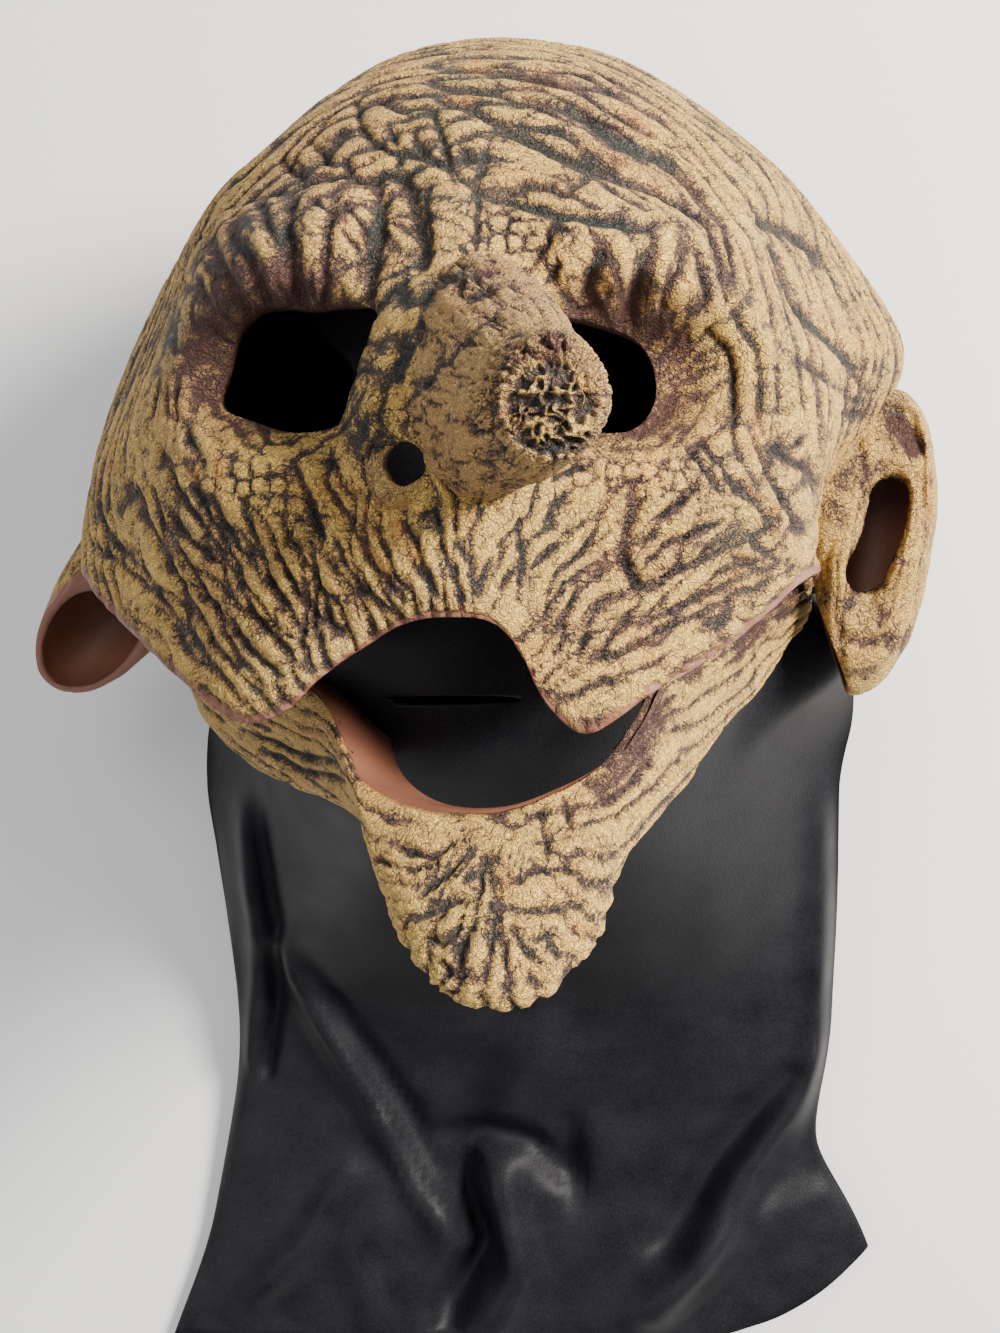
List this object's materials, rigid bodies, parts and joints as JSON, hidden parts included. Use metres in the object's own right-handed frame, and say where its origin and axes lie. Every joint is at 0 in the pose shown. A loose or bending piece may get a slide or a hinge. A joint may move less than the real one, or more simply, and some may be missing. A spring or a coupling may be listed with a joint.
{
  "type": "latex old man mask",
  "caption": "Full-head carnival mask of a wrinkled old man with a club nose, big ears, a loose jutting jaw and a black cloth hood and neck cloth, lying on its back.",
  "frame": {"origin": "middle of the flat spot on the back of the head that the mask lies on", "axes": "+Z the way the face looks, +Y from the origin to the crown, +X to the right of someone who looks at the face"},
  "size_m": [0.2857, 0.4354, 0.298],
  "materials": {
    "painted_latex": "matte latex, dark brown in the folds, cream dry-brushed on top",
    "jaw_latex": "matte latex, dry-brushed outside, bare flesh-brown inside",
    "black_cloth": "soft black jersey with a faint sheen"
  },
  "bodies": {
    "root": {"head_casting": "painted_latex", "lower_jaw": "jaw_latex", "hood_crown": "black_cloth", "hood_head_front": "black_cloth", "hood_head_left": "black_cloth", "hood_head_back": "black_cloth", "hood_head_right": "black_cloth", "hood_chin_front": "black_cloth", "hood_chin_left": "black_cloth", "hood_chin_back": "black_cloth", "hood_chin_right": "black_cloth", "hood_neck_front": "black_cloth", "hood_neck_left": "black_cloth", "hood_neck_back": "black_cloth", "hood_neck_right": "black_cloth", "hood_cape_front": "black_cloth", "hood_cape_left": "black_cloth", "hood_cape_back": "black_cloth", "hood_cape_right": "black_cloth", "hood_hem_front": "black_cloth", "hood_hem_left": "black_cloth", "hood_hem_back": "black_cloth", "hood_hem_right": "black_cloth"}
  },
  "joints": []
}
